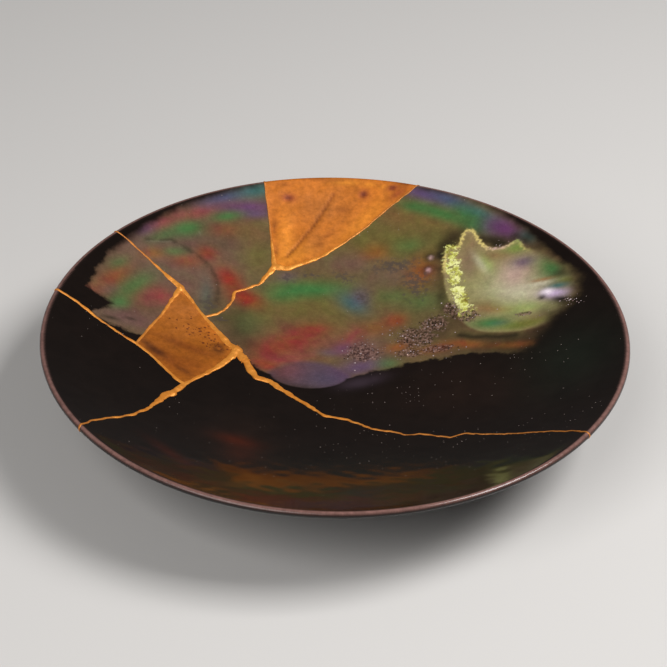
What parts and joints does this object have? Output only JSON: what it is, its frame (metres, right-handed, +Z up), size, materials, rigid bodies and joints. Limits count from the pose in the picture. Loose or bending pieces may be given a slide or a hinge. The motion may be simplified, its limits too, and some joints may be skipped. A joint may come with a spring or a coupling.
{
  "type": "kintsugi plate",
  "caption": "Shallow round footed ceramic plate with a dark iridescent glaze, broken and mended with raised gold lacquer seams and gold fills; stands on display or holds food.",
  "frame": {"origin": "on the table, under the middle of the foot ring", "axes": "+Z up out of the dish, +Y towards the back rim where the gold wedge is, +X to the right seen from the front"},
  "size_m": [0.18, 0.18, 0.0304],
  "materials": {
    "glaze": "gloss",
    "gold_fill": "satin",
    "gold_lacquer": "satin"
  },
  "bodies": {
    "root": {"sherd_left": "glaze", "sherd_back_left": "glaze", "sherd_right": "glaze", "sherd_front": "glaze", "sherd_front_left": "glaze", "rim_fill": "gold_fill", "well_fill": "gold_fill", "gold_seams": "gold_lacquer"}
  },
  "joints": []
}
